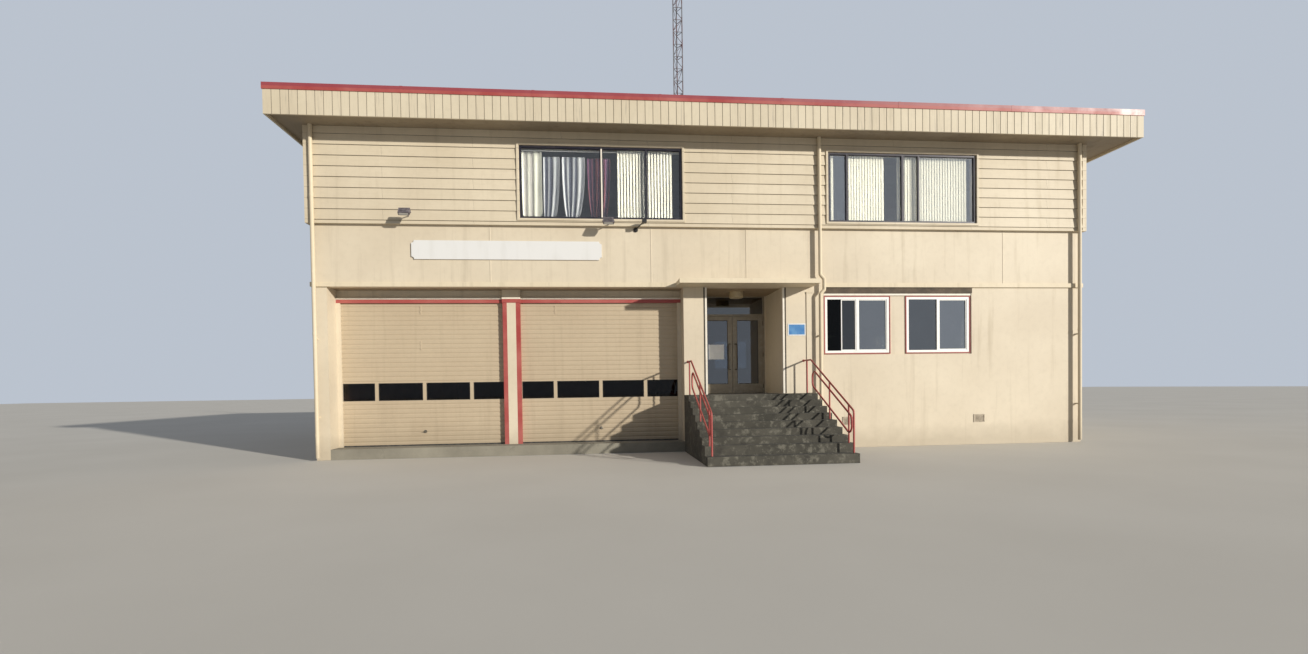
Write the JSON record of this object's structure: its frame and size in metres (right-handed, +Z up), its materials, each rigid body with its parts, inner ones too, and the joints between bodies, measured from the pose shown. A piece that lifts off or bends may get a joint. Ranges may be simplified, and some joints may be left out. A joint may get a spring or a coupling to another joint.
{
  "type": "fire station building",
  "caption": "Two-storey fire station with truck bays under a window band, a recessed entry porch with steps and railings, offices beside it, a flat roof with eaves and a radio mast.",
  "frame": {"origin": "middle of the footprint at the lowest ground point", "axes": "+X along the front to the right as seen from the street, +Y into the building, +Z up"},
  "size_m": [21.696, 19.238, 16.2],
  "materials": {
    "concrete": "weathered grey concrete with lichen",
    "floor_boards": "boarded floor",
    "wall_panel": "smooth painted panels with joint strips",
    "lap_siding": "painted lap boards",
    "cream_trim": "painted trim boards",
    "roof_covering": "rolled roofing over boards",
    "red_metal": "weathered red paint",
    "door_sheet": "ribbed sheet in tan paint",
    "bronze_metal": "dark bronze anodised",
    "white_vinyl": "white window sections",
    "clear_glass": "clear glazing",
    "lamp_bowl": "ribbed translucent bowl",
    "pipe_metal": "painted round pipe",
    "white_board": "white painted board, bare",
    "lamp_metal": "grey cast housing",
    "mast_steel": "galvanised lattice",
    "blind_slats": "closed white slats",
    "rod_metal": "white rod",
    "curtain_cloth": "hung cloth in folds"
  },
  "bodies": {
    "building": {"garage_floor": "concrete", "office_floor": "concrete", "landing": "concrete", "front_steps": "concrete", "upper_floor": "floor_boards", "left_wall": "wall_panel", "right_wall": "wall_panel", "back_wall": "wall_panel", "upper_front_wall": "wall_panel", "garage_portal": "wall_panel", "porch_left_pier": "wall_panel", "porch_right_wall": "wall_panel", "front_right_wall": "wall_panel", "lap_siding": "lap_siding", "belt_course": "cream_trim", "roof_fascia": "cream_trim", "roof_soffit": "cream_trim", "porch_canopy": "cream_trim", "roof_deck": "roof_covering", "roof_edge": "red_metal", "garage_door_trim": "red_metal", "left_railing": "red_metal", "right_railing": "red_metal", "garage_door_left": "door_sheet", "garage_door_right": "door_sheet", "front_upper_window_frames": "bronze_metal", "left_window_frames": "bronze_metal", "right_window_frames": "bronze_metal", "back_window_frames": "bronze_metal", "entry_frame": "bronze_metal", "front_lower_window_frames": "white_vinyl", "garage_door_glass": "clear_glass", "front_upper_window_glass": "clear_glass", "front_lower_window_glass": "clear_glass", "left_window_glass": "clear_glass", "right_window_glass": "clear_glass", "back_window_glass": "clear_glass", "transom_glass": "clear_glass", "porch_light": "lamp_bowl", "downpipe_left": "pipe_metal", "downpipe_middle": "pipe_metal", "downpipe_right": "pipe_metal", "sign_board": "white_board", "wall_lights": "lamp_metal", "radio_mast": "mast_steel", "window_blinds": "blind_slats", "curtain_rod": "rod_metal", "window_curtains": "curtain_cloth"},
    "left_door": {"left_leaf": "bronze_metal", "left_leaf_glass": "clear_glass"},
    "right_door": {"right_leaf": "bronze_metal", "right_leaf_glass": "clear_glass"}
  },
  "joints": [
    {"name": "left_door_hinge", "type": "hinge", "parent": "building", "child": "left_door", "pos_m": [-0.433, -4.827, 2.5445], "axis": [0, 0, -1], "range_deg": [0, 90]},
    {"name": "right_door_hinge", "type": "hinge", "parent": "building", "child": "right_door", "pos_m": [1.343, -4.827, 2.5445], "axis": [0, 0, 1], "range_deg": [0, 90]}
  ]
}
